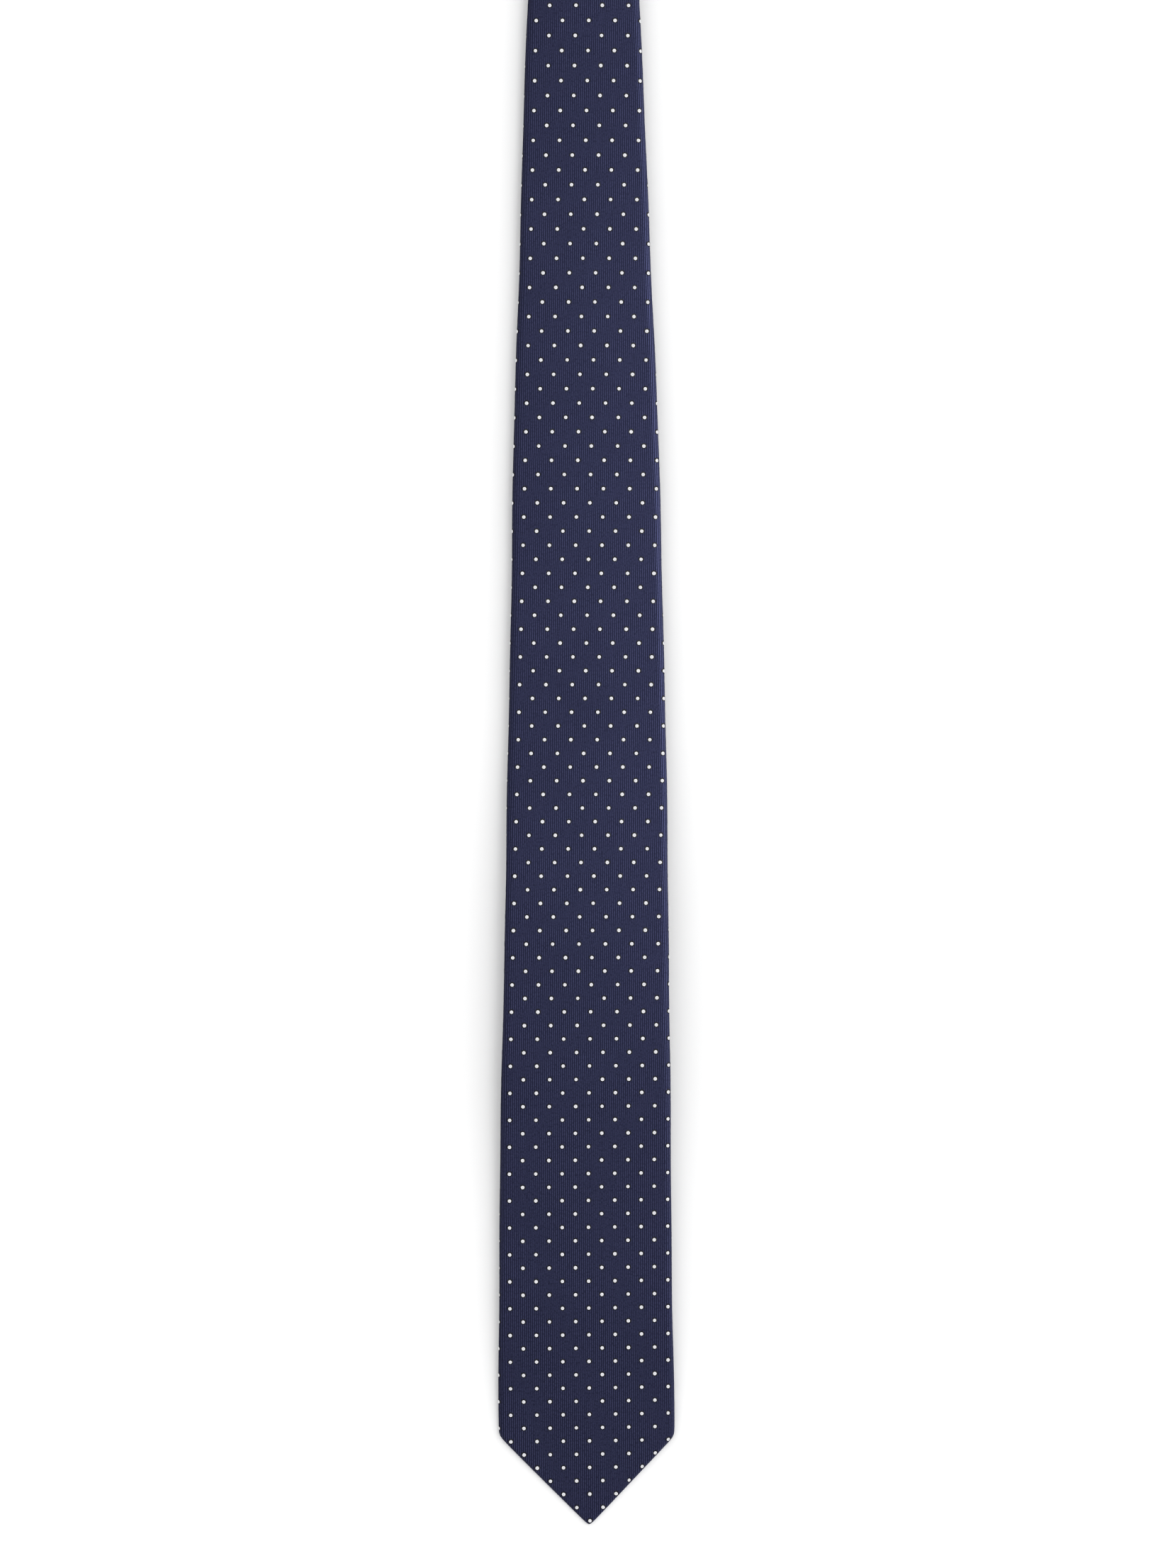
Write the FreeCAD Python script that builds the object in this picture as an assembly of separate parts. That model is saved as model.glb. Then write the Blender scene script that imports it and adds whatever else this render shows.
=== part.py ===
"""A lined silk necktie, folded once at the neck and laid face up, as separate named solids.

Units are millimetres. +Z is up, +X across the tie and +Y from the point of the wide blade towards the
fold. The origin is the middle of the folded tie on the surface that it lies on.

Every soft layer is a band: a cross section carried along the tie. A place on the tie is (x, s, h): x is
across, s is the distance from the wide point along the tie, over the fold and on to the narrow point, and
h is the height above the tie's back, so h = 0 is the seam side and h = thickness is the face.
"""

import FreeCAD
import Part
import math
import os
from FreeCAD import Vector

# ---- driving dimensions ----------------------------------------------------------------------------
TIE_LENGTH = 1480.0          # wide point to narrow point, along the cloth
FOLD = 785.0                 # distance from the wide point to the start of the fold
THICKNESS = 3.6              # silk, interlining and silk together
POINT_THICKNESS = 2.0        # at either point, where the interlining thins out
POINT_RUN = 60.0             # the thickness grows from a point over this length
FOLD_RADIUS = 6.6            # outer radius of the fold
# (distance from the wide point, full width)
OUTLINE = [
    (0, 70.6), (130, 67.8), (250, 64.3), (350, 60.9), (436, 56.9), (504, 52.0), (604, 44.4),
    (700, 37.6), (785, 34.4), (1000, 33.0), (1250, 35.5), (1480, 38.4),
]
CORNER_SOFTNESS = 3.0        # how softly a point's slanting edge runs into the long edge

SILK = 0.45                  # one layer of the shell, with its backing
SEAM_GAP = 0.15              # half the slit between the two back flaps
CLEAR = 0.1                  # between the interlining and the silk
LINING = 0.25                # tipping fabric
LINING_CLEAR = 0.05          # between the tipping and the flaps under it
INTERLINING_BACK = 0.9       # height of the interlining's back face

BLADE_WINDOW = {"hem": 9.0, "side": 29.0, "apex": 112.0}     # where the tipping shows
TAIL_WINDOW = {"hem": 7.0, "side": 13.5, "apex": 64.0}
TIPPING_PAST_APEX = 14.0
BAR_TACK = {"half_width": 4.0, "length": 1.5, "height": 0.3}
THREAD = 0.24                # slip stitch thread, across and through
STITCH_HEIGHT = 0.15         # a flat line of machine stitches

TURN_UP = 330.0              # the line across the blade where its end turns up
TURN_UP_RADIUS = 3.0         # between the face and the axis that it turns about
BODY_GAP = 0.15              # half the gap between pieces that turn against each other
BLADE_SEAM = 715.0           # middle of the slanting seam between blade and neck piece
TAIL_SEAM = 1010.0           # and between neck piece and tail
SEAM_HALF = 0.3              # half the width of that seam
SEAM_CLEAR = 0.05

BEND = (45.0, 135.0)         # degrees round the fold where its loose middle piece starts and ends
BEND_GAP = 0.4               # degrees, half the gap at either end of it

KEEPER = {"s": 216.0, "width": 12.0, "opening": 42.0, "height": 4.4, "silk": 0.9, "foot": 7.5}
KEEPER_TACK = {"half_width": 2.2, "length": 0.8, "height": 0.25, "inset": 3.2}
MAKER_LABEL = {"s0": 150.0, "s1": 172.0, "half_width": 22.0, "thickness": 0.25}
MAKER_STITCH_INSET = 0.6
CARE_LABEL = {"s0": 48.0, "s1": 80.0, "half_width": 8.0, "h0": 0.1, "h1": 0.3}
CARE_STITCH = {"s0": 80.35, "s1": 81.2, "h0": 0.2}

# The blade's back lies on the surface at the point, climbs over the end of the tail, over the tail in the
# keeper loop's place, lies on the tail again and climbs to the fold: (distance, height).
FOLD_HEIGHT = 2 * FOLD_RADIUS - THICKNESS
BLADE_REST = [
    (0, 0.0), (28, 0.0), (98, 4.4), (205, 9.3), (228, 9.3), (330, 4.4), (640, 4.4),
    (760, FOLD_HEIGHT), (FOLD, FOLD_HEIGHT),
]

# ---- worked out ------------------------------------------------------------------------------------
FOLD_LENGTH = math.pi * (FOLD_RADIUS - THICKNESS / 2)        # along the middle of the thickness
TAIL_START = FOLD + FOLD_LENGTH
POINT_END = 1.2                                              # the points are this blunt
MIDDLE = (POINT_END + FOLD + FOLD_RADIUS) / 2                # puts the origin halfway along Y
FLATNESS = 1e-5                                              # a face this flat is a plane

_point = [POINT_END, 4, 9.3, 16, 24, 31, 33, 35, 37, 39, 45, 54, 64, 76, 88, 98]
_along = [112, 126, 144, 162, 178, 192, 205, 228, 240, 256, 276, 300, 330]
_along += [330 + 31 * i for i in range(1, 11)] + [664, 688, 712, 736, 760]
_tail_point = [TIE_LENGTH - s for s in (1.2, 4, 7.3, 12, 16, 18, 20, 22, 26, 34, 46, 60, 78)]
_tail_run = [TAIL_START + 46 * i for i in range(13)]
KNOTS = sorted(_point + _along + [FOLD] + _tail_run + _tail_point)


def smoothstep(t):
    t = min(1.0, max(0.0, t))
    return t * t * (3 - 2 * t)


def eased(points, s):
    """Height through the points, level at each of them."""
    for (s0, v0), (s1, v1) in zip(points, points[1:]):
        if s <= s1:
            return v0 + (v1 - v0) * smoothstep((s - s0) / (s1 - s0))
    return points[-1][1]


def smooth_through(points, s):
    """A smooth curve through the points: cubic spans whose slopes come from the neighbours."""
    def slope(i):
        a, b = points[max(i - 1, 0)], points[min(i + 1, len(points) - 1)]
        return (b[1] - a[1]) / (b[0] - a[0])

    for i, ((s0, v0), (s1, v1)) in enumerate(zip(points, points[1:])):
        if s <= s1:
            run = s1 - s0
            t = (s - s0) / run
            rise = smoothstep(t)
            start, end = t * (1 - t) ** 2, t * t * (t - 1)
            return v0 + (v1 - v0) * rise + run * (slope(i) * start + slope(i + 1) * end)
    return points[-1][1]


def exact_width(s):
    """Full width: the long edges, met by the two 90 degree points."""
    body = smooth_through(OUTLINE, s)
    point = 2 * min(s, TIE_LENGTH - s)
    return (body + point - math.hypot(body - point, CORNER_SOFTNESS)) / 2


def exact_thickness(s):
    near = min(s, TIE_LENGTH - s)
    return POINT_THICKNESS + (THICKNESS - POINT_THICKNESS) * smoothstep(near / POINT_RUN)


def between_knots(function, s):
    """The function's value at the knots and straight lines between them, so all layers stay parallel."""
    for s0, s1 in zip(KNOTS, KNOTS[1:]):
        if s0 <= s <= s1:
            t = (s - s0) / (s1 - s0)
            return function(s0) * (1 - t) + function(s1) * t
    return function(s)


def width(s):
    return between_knots(exact_width, s)


def thickness(s):
    return between_knots(exact_thickness, s)


def blade_height(s):
    return between_knots(lambda at: eased(BLADE_REST, at), s)


def fold_angle(s):
    """How far round the fold a place is, in degrees."""
    return min(180.0, max(0.0, 180.0 * (s - FOLD) / FOLD_LENGTH))


def s_at_angle(degrees):
    return FOLD + FOLD_LENGTH * degrees / 180.0


def place(x, s, h):
    """The point of the folded tie at x across, s along and h above its back."""
    if s <= FOLD:
        return Vector(x, s - MIDDLE, blade_height(s) + h)
    if s >= TAIL_START:
        return Vector(x, FOLD - (s - TAIL_START) - MIDDLE, thickness(s) - h)
    turn = math.radians(fold_angle(s))
    radius = FOLD_RADIUS - THICKNESS + h
    return Vector(x, FOLD - MIDDLE + radius * math.sin(turn), FOLD_RADIUS + radius * math.cos(turn))


def stations(s0, s1):
    """The ends and every knot between them, with a knot each 7.5 degrees round the fold."""
    step = 7.5
    turns = [s_at_angle(step * i) for i in range(1, int(180 / step))]
    inside = [s for s in KNOTS + turns if s0 + 0.01 < s < s1 - 0.01]
    return [s0] + sorted(inside) + [s1]


# ---- cross sections: lists of ("line", end) or ("arc", middle, end) steps from a start, in (x, h) ---
def shell_section(s):
    """The silk: one layer over the face, round both rolled edges and back to the middle of the back."""
    t = thickness(s)
    half = width(s) / 2
    flat = half - t / 2
    outer = [
        ("line", (flat, 0)), ("arc", (half, t / 2), (flat, t)),
        ("line", (-flat, t)), ("arc", (-half, t / 2), (-flat, 0)), ("line", (-SEAM_GAP, 0)),
    ]
    inner = [
        ("line", (-SEAM_GAP, SILK)), ("line", (-flat, SILK)),
        ("arc", (SILK - half, t / 2), (-flat, t - SILK)), ("line", (flat, t - SILK)),
        ("arc", (half - SILK, t / 2), (flat, SILK)), ("line", (SEAM_GAP, SILK)),
    ]
    return (SEAM_GAP, 0), outer + inner + [("line", (SEAM_GAP, 0))]


def interlining_section(s):
    t = thickness(s)
    back, face = INTERLINING_BACK, t - SILK - CLEAR
    radius = (face - back) / 2
    flat = width(s) / 2 - t / 2 - CLEAR
    bulge = flat + radius
    middle = (back + face) / 2
    steps = [
        ("line", (flat, back)), ("arc", (bulge, middle), (flat, face)),
        ("line", (-flat, face)), ("arc", (-bulge, middle), (-flat, back)),
    ]
    return (-flat, back), steps


def plate_section(x0, x1, h0, h1):
    """A rectangle. Each side is a number, or a function of s."""
    def value(side, s):
        return side(s) if callable(side) else side

    def section(s):
        left, right, low, high = (value(side, s) for side in (x0, x1, h0, h1))
        corners = [(right, low), (right, high), (left, high), (left, low)]
        return (left, low), [("line", corner) for corner in corners]

    return section


def section_wire(s, section):
    at, steps = section(s)
    edges = []
    for kind, *points in steps:
        ends = [place(x, s, h) for x, h in [at] + points]
        edges.append(Part.LineSegment(*ends).toShape() if kind == "line" else Part.Arc(*ends).toShape())
        at = points[-1]
    return Part.Wire(edges)


def middle_normal(face):
    u0, u1, v0, v1 = face.ParameterRange
    return face.normalAt((u0 + u1) / 2, (v0 + v1) / 2)


def with_flat_faces(solid):
    """The same solid, with true planes for its flat faces and flat neighbours joined into one face."""
    faces = []
    for face in solid.Faces:
        plane = face.findPlane(FLATNESS)
        if plane:
            flat = Part.Face(plane, face.OuterWire)
            if middle_normal(flat).dot(middle_normal(face)) < 0:
                flat.reverse()
            face = flat
        faces.append(face)
    return Part.Solid(Part.Shell(faces)).removeSplitter()


def band(s0, s1, section):
    """A solid whose cross section follows the tie from s0 to s1."""
    return with_flat_faces(Part.makeLoft([section_wire(s, section) for s in stations(s0, s1)], True, True))


# ---- the two ends ----------------------------------------------------------------------------------
def from_end(side, distance):
    """The place along the tie at that distance from the wide or the narrow point."""
    return distance if side == "blade" else TIE_LENGTH - distance


def end_span(side, near, far):
    return sorted((from_end(side, near), from_end(side, far)))


def window_half_width(side, window):
    """Half the width of the kite-shaped opening in the back, where the tipping shows."""
    def half(s):
        end = s if side == "blade" else TIE_LENGTH - s
        closing = window["side"] * (window["apex"] - end) / (window["apex"] - window["side"] - window["hem"])
        return max(0.2, min(end - window["hem"], closing))

    return half


def open_window(shell, side, window):
    """Cuts the opening in the back layer only."""
    half = window_half_width(side, window)
    section = plate_section(lambda s: -half(s), half, -1.0, SILK + LINING_CLEAR)
    return shell.cut(band(*end_span(side, window["hem"] + 0.3, window["apex"] - 0.3), section))


def tipping(side, window):
    """The lining of a blade's end, between the flaps and the interlining."""
    def half(s):
        return width(s) / 2 - thickness(s) / 2 - CLEAR

    low = SILK + LINING_CLEAR
    section = plate_section(lambda s: -half(s), half, low, low + LINING)
    return band(*end_span(side, 4.0, window["apex"] + TIPPING_PAST_APEX), section)


def bar_tack(side, window):
    """The thread bar that stops the back seam from opening, across the seam's end."""
    start = window["apex"] + 0.5
    section = plate_section(-BAR_TACK["half_width"], BAR_TACK["half_width"], -BAR_TACK["height"], 0.0)
    return band(*end_span(side, start, start + BAR_TACK["length"]), section)


def hem_stitches(side, window):
    """Two lines of stitches on the tipping, along the folded hem of the point."""
    line, gap = 0.5, 0.3
    start, stop = window["hem"] + 2.0, window["hem"] + window["side"] - 1.0
    lines = []
    for sign in (-1, 1):
        def edge(offset, sign=sign):
            def x(s):
                end = s if side == "blade" else TIE_LENGTH - s
                return sign * (end - window["hem"] - gap - offset)
            return x

        inner, outer = sorted((edge(0.0), edge(line)), key=lambda x: x(from_end(side, start)))
        section = plate_section(inner, outer, SILK + LINING_CLEAR - STITCH_HEIGHT, SILK + LINING_CLEAR)
        lines.append(band(*end_span(side, start, stop), section))
    return Part.Compound(lines)


def slip_stitch(s0, s1):
    """The one long thread that closes the back seam, in the slit between the flaps."""
    return band(s0, s1, plate_section(-THREAD / 2, THREAD / 2, 0.1, 0.1 + THREAD))


# ---- the slanting seams ----------------------------------------------------------------------------
def slanted_block(s, near, far, above, below):
    """A tall block between two planes at 45 degrees across the tie, near and far beyond place s."""
    reach = 2 * TIE_LENGTH
    block = Part.makeBox(reach, far - near, above - below, Vector(-reach / 2, near, below))
    block.rotate(Vector(0, 0, 0), Vector(0, 0, 1), 45)
    block.translate(Vector(0, place(0, s, 0).y, 0))
    return block


def split_at_seam(shell, s, above, below):
    """The shell on the -Y side of a slanting seam, the seam itself, and the shell on the +Y side."""
    reach = 2 * TIE_LENGTH
    edge = SEAM_HALF + SEAM_CLEAR
    spans = [(-reach, -edge), (-SEAM_HALF, SEAM_HALF), (edge, reach)]
    return [shell.common(slanted_block(s, near, far, above, below)) for near, far in spans]


# ---- loops and labels on the back of the blade -----------------------------------------------------
def keeper_loop():
    """A strap of folded silk sewn down at both ends, standing off the back so that the tail slides in."""
    inner, silk, height = KEEPER["opening"] / 2, KEEPER["silk"], KEEPER["height"]
    foot = inner + silk + KEEPER["foot"]
    round_in, round_out = 1.6, 1.6 + silk
    s0 = KEEPER["s"] - KEEPER["width"] / 2
    y, top = place(0, s0, 0).y, place(0, s0, 0).z

    def corner(sign, x, depth, radius):
        """A quarter round from a leg into the strap's flat."""
        lean = radius * (1 - math.sqrt(0.5))
        return [
            Vector(sign * x, y, top - depth + radius),
            Vector(sign * (x - lean), y, top - depth + lean),
            Vector(sign * (x - radius), y, top - depth),
        ]

    outer, deep = inner + silk, height + silk
    out_right, out_left = corner(1, outer, deep, round_out), corner(-1, outer, deep, round_out)
    in_right, in_left = corner(1, inner, height, round_in), corner(-1, inner, height, round_in)
    chain = [
        [Vector(foot, y, top), Vector(foot, y, top - silk)],
        [Vector(foot, y, top - silk), Vector(outer, y, top - silk)],
        [Vector(outer, y, top - silk), out_right[0]], out_right,
        [out_right[2], out_left[2]], out_left[::-1],
        [out_left[0], Vector(-outer, y, top - silk)],
        [Vector(-outer, y, top - silk), Vector(-foot, y, top - silk)],
        [Vector(-foot, y, top - silk), Vector(-foot, y, top)],
        [Vector(-foot, y, top), Vector(-inner, y, top)],
        [Vector(-inner, y, top), in_left[0]], in_left,
        [in_left[2], in_right[2]], in_right[::-1],
        [in_right[0], Vector(inner, y, top)],
        [Vector(inner, y, top), Vector(foot, y, top)],
    ]
    edges = [(Part.LineSegment if len(run) == 2 else Part.Arc)(*run).toShape() for run in chain]
    return Part.Face(Part.Wire(edges)).extrude(Vector(0, KEEPER["width"], 0))


def keeper_tacks():
    """The four short bars of stitches that hold the loop's feet down."""
    out = KEEPER["opening"] / 2 + KEEPER["silk"] + KEEPER["foot"] / 2
    half, length, height = (KEEPER_TACK[key] for key in ("half_width", "length", "height"))
    tacks = []
    for x in (-out, out):
        for way in (-1, 1):
            s = KEEPER["s"] + way * (KEEPER["width"] / 2 - KEEPER_TACK["inset"]) - length / 2
            section = plate_section(x - half, x + half, -KEEPER["silk"] - height, -KEEPER["silk"])
            tacks.append(band(s, s + length, section))
    return Part.Compound(tacks)


def maker_label():
    half = MAKER_LABEL["half_width"]
    section = plate_section(-half, half, -MAKER_LABEL["thickness"], 0.0)
    return band(MAKER_LABEL["s0"], MAKER_LABEL["s1"], section)


def maker_label_stitches():
    """A line of stitches down each short side of the label."""
    inset, line = MAKER_STITCH_INSET, 0.5
    low = -MAKER_LABEL["thickness"] - STITCH_HEIGHT
    lines = []
    for sign in (-1, 1):
        x0, x1 = sorted(sign * (MAKER_LABEL["half_width"] - inset - d) for d in (0.0, line))
        section = plate_section(x0, x1, low, -MAKER_LABEL["thickness"])
        lines.append(band(MAKER_LABEL["s0"] + inset, MAKER_LABEL["s1"] - inset, section))
    return Part.Compound(lines)


def care_label():
    half = CARE_LABEL["half_width"]
    return band(CARE_LABEL["s0"], CARE_LABEL["s1"], plate_section(-half, half, CARE_LABEL["h0"], CARE_LABEL["h1"]))


def care_label_stitch():
    """The line of stitches above the care label's top edge, on the tipping."""
    half = CARE_LABEL["half_width"]
    section = plate_section(-half, half, CARE_STITCH["h0"], SILK + LINING_CLEAR)
    return band(CARE_STITCH["s0"], CARE_STITCH["s1"], section)


# ---- assembly --------------------------------------------------------------------------------------
def end_pieces(side, window):
    """What closes and lines one blade's end."""
    return {
        f"{side}_tipping": tipping(side, window),
        f"{side}_bar_tack": bar_tack(side, window),
        f"{side}_hem_stitches": hem_stitches(side, window),
    }


def make_nodes():
    top = 2 * FOLD_RADIUS + 1
    blade_fold_end, bend_start = s_at_angle(BEND[0] - BEND_GAP), s_at_angle(BEND[0] + BEND_GAP)
    bend_end, tail_fold_end = s_at_angle(BEND[1] - BEND_GAP), s_at_angle(BEND[1] + BEND_GAP)
    lower_end, upper_start = TURN_UP - BODY_GAP, TURN_UP + BODY_GAP
    narrow_end = TIE_LENGTH - POINT_END
    seam_start = BLADE_WINDOW["apex"] + BAR_TACK["length"] + 1.0
    tail_seam_end = TIE_LENGTH - TAIL_WINDOW["apex"] - BAR_TACK["length"] - 1.0

    nodes = {}
    nodes["blade_shell_lower"] = open_window(band(POINT_END, lower_end, shell_section), "blade", BLADE_WINDOW)
    upper = split_at_seam(band(upper_start, blade_fold_end, shell_section), BLADE_SEAM, top, -1.0)
    nodes["blade_shell_upper"], nodes["blade_neck_seam"], nodes["neck_shell_blade_side"] = upper
    tail = split_at_seam(band(tail_fold_end, narrow_end, shell_section), TAIL_SEAM, top, -1.0)
    tail_shell, nodes["tail_neck_seam"], nodes["neck_shell_tail_side"] = tail
    nodes["tail_shell"] = open_window(tail_shell, "tail", TAIL_WINDOW)

    nodes["blade_interlining_lower"] = band(4.0, lower_end, interlining_section)
    nodes["blade_interlining_upper"] = band(upper_start, blade_fold_end, interlining_section)
    nodes["tail_interlining"] = band(tail_fold_end, TIE_LENGTH - 4.0, interlining_section)
    nodes["neck_bend_shell"] = band(bend_start, bend_end, shell_section)
    nodes["neck_bend_interlining"] = band(bend_start, bend_end, interlining_section)

    nodes.update(end_pieces("blade", BLADE_WINDOW))
    nodes.update(end_pieces("tail", TAIL_WINDOW))
    nodes["blade_slip_stitch_lower"] = slip_stitch(seam_start, lower_end)
    nodes["blade_slip_stitch_upper"] = slip_stitch(upper_start, FOLD)
    nodes["tail_slip_stitch"] = slip_stitch(TAIL_START, tail_seam_end)

    nodes["keeper_loop"] = keeper_loop()
    nodes["keeper_loop_tacks"] = keeper_tacks()
    nodes["maker_label"] = maker_label()
    nodes["maker_label_stitches"] = maker_label_stitches()
    nodes["care_label"] = care_label()
    nodes["care_label_stitch"] = care_label_stitch()
    return nodes


def report(name, shape):
    box = shape.BoundBox
    size = f"{box.XLength:.1f} x {box.YLength:.1f} x {box.ZLength:.2f}"
    print(f"{name:28s} solids {len(shape.Solids)} valid {shape.isValid()} volume {shape.Volume:9.1f} size {size}")


def report_joints():
    """The axes that the record's joints turn about."""
    fold = Vector(0, FOLD - MIDDLE, FOLD_RADIUS)
    for degrees in BEND:
        turn = math.radians(degrees)
        at = fold + Vector(0, math.sin(turn), math.cos(turn)) * FOLD_RADIUS
        print(f"fold axis at y {at.y:.3f} z {at.z:.3f}")
    face = place(0, TURN_UP, THICKNESS + TURN_UP_RADIUS)
    print(f"turn-up axis at y {face.y:.3f} z {face.z:.3f}")
    flap = place(0, CARE_LABEL["s1"], CARE_LABEL["h1"])
    print(f"care label axis at y {flap.y:.3f} z {flap.z:.3f}")


os.makedirs("parts", exist_ok=True)
for node, solid in make_nodes().items():
    report(node, solid)
    solid.exportStep(os.path.join("parts", node + ".step"))
report_joints()
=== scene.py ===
"""A navy pin dot silk necktie, folded at the neck and laid face up: the visual model.

A place on the tie is (x, s, h), in metres: x across, s along from the point of the wide blade, over the
fold and on to the narrow point, and h the height above the tie's back. A place on the silk is (u, s),
where u runs across the cloth from the middle of the face, round the rolled edges to the seam in the back.
"""

import math

import bpy
import numpy as np
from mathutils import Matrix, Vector


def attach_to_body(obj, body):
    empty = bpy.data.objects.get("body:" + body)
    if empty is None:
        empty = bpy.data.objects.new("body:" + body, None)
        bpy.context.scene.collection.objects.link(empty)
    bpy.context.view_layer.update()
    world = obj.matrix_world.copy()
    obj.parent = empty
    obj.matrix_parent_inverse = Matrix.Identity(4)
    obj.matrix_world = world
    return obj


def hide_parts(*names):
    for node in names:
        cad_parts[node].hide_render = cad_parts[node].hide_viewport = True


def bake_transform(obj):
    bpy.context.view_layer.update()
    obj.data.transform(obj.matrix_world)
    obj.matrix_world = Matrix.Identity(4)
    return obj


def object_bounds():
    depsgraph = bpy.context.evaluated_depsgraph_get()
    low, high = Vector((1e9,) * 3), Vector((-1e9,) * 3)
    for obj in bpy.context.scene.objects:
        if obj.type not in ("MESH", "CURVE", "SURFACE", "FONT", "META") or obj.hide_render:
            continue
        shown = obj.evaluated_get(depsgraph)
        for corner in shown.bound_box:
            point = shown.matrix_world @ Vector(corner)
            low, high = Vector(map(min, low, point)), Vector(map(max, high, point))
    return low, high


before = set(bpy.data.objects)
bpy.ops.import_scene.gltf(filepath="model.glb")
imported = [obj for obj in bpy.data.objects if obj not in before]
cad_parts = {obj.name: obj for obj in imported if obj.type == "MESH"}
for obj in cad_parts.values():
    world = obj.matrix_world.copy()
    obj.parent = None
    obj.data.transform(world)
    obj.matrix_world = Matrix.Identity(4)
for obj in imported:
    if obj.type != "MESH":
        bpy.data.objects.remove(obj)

cad_low, cad_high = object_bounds()

# ---- sizes ----
MM = 0.001
TIE_LENGTH = 1480 * MM
FOLD = 785 * MM  # where the fold at the neck starts
THICKNESS = 3.6 * MM
POINT_THICKNESS = 2.0 * MM
POINT_RUN = 60 * MM  # the thickness grows from a point over this length
NOSE = 1.2 * MM  # how far the very end of a point is rounded
POINT_END = 1.2 * MM  # the CAD points are this blunt
FOLD_RADIUS = cad_high.z / 2
FOLD_LENGTH = math.pi * (FOLD_RADIUS - THICKNESS / 2)
TAIL_START = FOLD + FOLD_LENGTH
MIDDLE = POINT_END - cad_low.y
FOLD_HEIGHT = 2 * FOLD_RADIUS - THICKNESS
SILK = 0.45 * MM  # how thick the cloth is
SEAM_GAP = 0.12 * MM  # half the slit of the back seam
POINT_SLOPE = 0.972  # half width gained for each unit of distance from a point
POINT_SOFTNESS = 0.9 * MM
CORNER_SOFTNESS = 3.0 * MM
POINT_LENGTH = 40 * MM  # from a point to the corners
CROWN = 0.75 * MM  # how much the blade swells in the middle
CROWN_RUN = 50 * MM  # the swelling grows from the point over this length
CROWN_END, CROWN_FADE = 660 * MM, 100 * MM  # and fades out here, over this length
FLUTTER = 0.12 * MM  # how far the edges wander from their smooth outline
EASE = 0.10 * MM  # height of the blade's faint waves
EASE_RUN = 60 * MM  # flutter and waves fade out towards a point over this length

# (distance from the wide point, full width), in millimetres
OUTLINE = [
    (0, 70.9), (130, 67.9), (250, 64.4), (350, 60.9), (436, 56.9), (504, 52.0), (604, 44.4),
    (700, 37.6), (785, 34.4), (1000, 33.0), (1250, 35.5), (1480, 38.4),
]
# (distance, height of the back above the surface), in millimetres, up to the fold
BLADE_REST = [
    (0, 0.0), (28, 0.0), (98, 4.4), (205, 9.3), (228, 9.3), (330, 5.0), (390, 4.4), (640, 4.4), (760, 9.6),
]
# (distance, sideways drift of the middle line), in millimetres: no tie lies dead straight
SWAY = [
    (0, 1.0), (36, 0.0), (130, -0.5), (240, 0.0), (350, 0.1), (490, -0.6), (604, -1.2), (785, -0.4),
    (1000, 0.5), (1250, -0.3), (1480, 0.3),
]

BLADE_WINDOW = {"hem": 9 * MM, "side": 29 * MM, "apex": 112 * MM}
TAIL_WINDOW = {"hem": 7 * MM, "side": 13.5 * MM, "apex": 64 * MM}
TURN_UP = 330 * MM
TURN_UP_REACH = 7 * MM  # how far either side of its line the turn-up's bend would reach; bend_turn_up works it out and bends nothing
BLADE_PIECE_END = 345 * MM  # where the blade's end piece meets the rest
BLADE_SEAM = 715 * MM
TAIL_SEAM = 1010 * MM
SEAM_HALF = 0.3 * MM
FOLD_TOP = FOLD + FOLD_LENGTH / 2  # halfway round the fold

# where the two labels lie along the tie, and half their widths
MAKER_LABEL = {"start": 150 * MM, "end": 172 * MM, "half": 22 * MM}
CARE_LABEL = {"start": 48 * MM, "end": 80 * MM, "half": 8 * MM}

RIB = 0.78 * MM
RIB_DEPTH = 0.12 * MM
PICK = 0.31 * MM  # the cross threads' pitch
COLUMNS_PER_RIB = 4
INNER_STEP = 8  # the inside of the silk has one column for so many outside
DOT = {"radius": 0.69 * MM, "pitch": 10.40 * MM, "row": 5.335 * MM, "height": 0.13 * MM, "sides": 12}
DOT["middle"] = 0.62 * DOT["height"]  # the hollow in the middle is a little lower than the dot
DOT_MARGIN = {"end": 1.8 * MM, "edge": 1.35 * MM}  # between a dot's middle and the cloth's ends or edges
FIRST_ROW = 1.5 * MM
ROW_TILT = 0.0157  # the rows at the blade's end are this much out of square
ROW_TILT_RUN = 350 * MM
ROW_SPREAD = {"from": 270 * MM, "to": 620 * MM, "slope": 1.95e-3, "soft": 30 * MM}
RING = {"right": 0.03 * MM, "up": 0.10 * MM}  # how far the ring of painted shade lies right of and above its dot
# the rings of a dot's mesh, outwards: radius, height above the ribs, and 1 for the painted shade ring's own
DOT_RINGS = [
    (0.42 * DOT["radius"], 0.92 * DOT["height"], 0),
    (0.80 * DOT["radius"], 0.72 * DOT["height"], 0),
    (DOT["radius"], 0.0, 0),
    (1.04 * DOT["radius"], 0.02 * MM, 0),
    (1.12 * MM, 0.02 * MM, 1),
    (1.20 * MM, -0.10 * MM, 1),
]
WHITE_BANDS = 2  # of the bands between the rings


# ---- curves along the tie ----
def smoothstep(t):
    t = np.clip(t, 0, 1)
    return t * t * (3 - 2 * t)


def ramp(t, softness):
    """Zero, then a straight climb, with a soft bend between them."""
    return (t + np.hypot(t, softness)) / 2


def eased(points, s):
    """The value through the points, level at each of them."""
    at, value = np.array(points).T * MM
    i = np.clip(np.searchsorted(at, s, side="right") - 1, 0, len(at) - 2)
    return value[i] + (value[i + 1] - value[i]) * smoothstep((s - at[i]) / (at[i + 1] - at[i]))


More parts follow.
